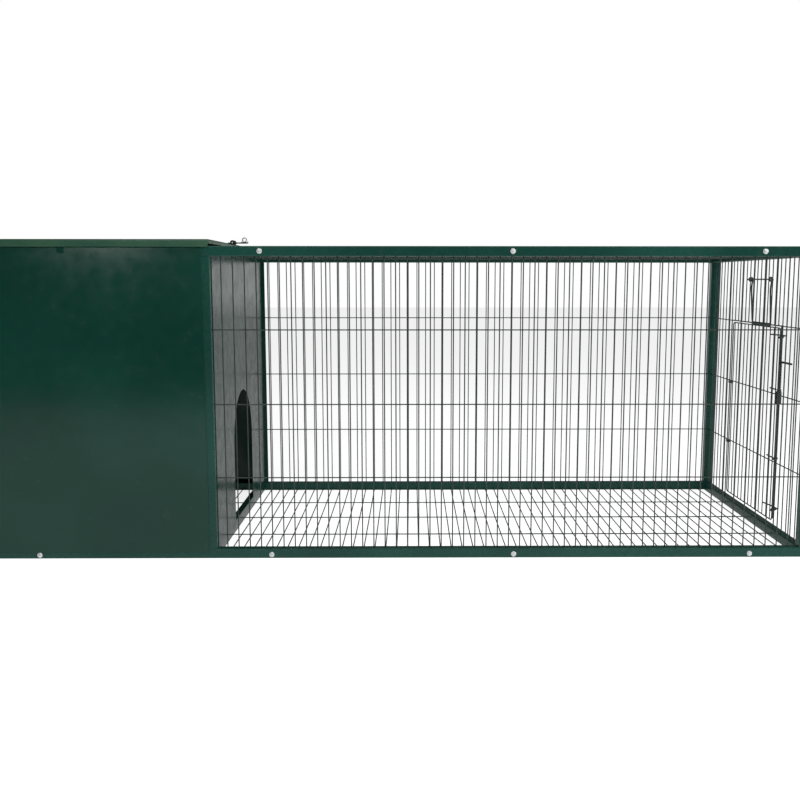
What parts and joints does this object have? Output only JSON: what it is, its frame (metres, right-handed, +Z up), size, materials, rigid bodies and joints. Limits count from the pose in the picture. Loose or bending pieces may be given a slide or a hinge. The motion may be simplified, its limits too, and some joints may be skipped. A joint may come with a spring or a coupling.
{
  "type": "poultry run with house",
  "caption": "Long low steel outdoor run for poultry or rabbits: welded wire mesh on a square-tube frame, a sheet-metal house with a lifting lid at one end and a latched wire door at the other",
  "frame": {"origin": "centre of the bounding box in plan, on the ground", "axes": "+X along the length from the house to the door end, +Y from the front to the back, +Z up"},
  "size_m": [1.811, 0.659, 0.6613],
  "materials": {
    "frame_paint": "glossy dark green powder coat on square steel tube",
    "panel_paint": "glossy dark green coil-coated steel sheet",
    "wire_coating": "dark green-black powder coat on welded wire",
    "rod_coating": "dark green-black powder coat on bent wire",
    "fitting_paint": "dark green paint on small pressed fittings",
    "buffer_rubber": "matt black moulded rubber",
    "zinc": "bright zinc plate"
  },
  "bodies": {
    "coop": {"bottom_rail_front": "frame_paint", "bottom_rail_back": "frame_paint", "top_rail_front": "frame_paint", "top_rail_back": "frame_paint", "house_post_front": "frame_paint", "house_post_back": "frame_paint", "middle_post_front": "frame_paint", "middle_post_back": "frame_paint", "end_post_front": "frame_paint", "end_post_back": "frame_paint", "house_cross_rail_bottom": "frame_paint", "house_cross_rail_top": "frame_paint", "middle_cross_rail_bottom": "frame_paint", "middle_cross_rail_top": "frame_paint", "end_cross_rail_bottom": "frame_paint", "end_cross_rail_top": "frame_paint", "front_wire_mesh": "wire_coating", "back_wire_mesh": "wire_coating", "roof_wire_mesh": "wire_coating", "run_floor_wire_mesh": "wire_coating", "house_floor_wire_mesh": "wire_coating", "end_wire_mesh_upper": "wire_coating", "end_wire_mesh_front": "wire_coating", "end_wire_mesh_back": "wire_coating", "door_opening_edge_front": "rod_coating", "door_opening_edge_back": "rod_coating", "door_opening_edge_top": "rod_coating", "door_hinge_loops": "rod_coating", "carry_handle_pivot": "rod_coating", "house_panel_front": "panel_paint", "house_panel_back": "panel_paint", "house_panel_end": "panel_paint", "divider_panel": "panel_paint", "lid_buffers": "buffer_rubber", "house_hinge_leaves": "fitting_paint", "lid_front_catch": "panel_paint", "rail_bolts": "zinc"},
    "lid": {"house_lid": "panel_paint", "lid_hinge_leaves": "fitting_paint", "lid_hinge_pins": "zinc", "hasp_leaf": "fitting_paint", "hasp_pin": "zinc"},
    "hasp": {"hasp_strap": "fitting_paint", "hasp_ring": "zinc"},
    "door": {"door_border_rod": "rod_coating", "door_wire_mesh": "wire_coating", "latch_guides": "rod_coating", "latch_bows": "rod_coating", "latch_sleeve": "rod_coating"},
    "latch": {"latch_rod": "rod_coating"},
    "carry_handle": {"carry_handle_bail": "rod_coating", "carry_handle_grip": "rod_coating"}
  },
  "joints": [
    {"name": "lid_hinge", "type": "hinge", "parent": "coop", "child": "lid", "pos_m": [-0.9015, 0, 0.618], "axis": [0, -1, 0], "range_deg": [0, 100]},
    {"name": "hasp_swing", "type": "hinge", "parent": "lid", "child": "hasp", "pos_m": [-0.3245, 0, 0.6488], "axis": [0, -1, 0], "range_deg": [0, 140]},
    {"name": "door_hinge", "type": "hinge", "parent": "coop", "child": "door", "pos_m": [0.8887, 0.15, 0.24], "axis": [0, 0, 1], "range_deg": [0, 110]},
    {"name": "latch_turn", "type": "hinge", "parent": "door", "child": "latch", "pos_m": [0.8947, -0.142, 0.24], "axis": [0, 0, 1], "range_deg": [0, 100]},
    {"name": "carry_handle_swing", "type": "hinge", "parent": "coop", "child": "carry_handle", "pos_m": [0.8955, 0, 0.566], "axis": [0, -1, 0], "range_deg": [0, 120]}
  ]
}
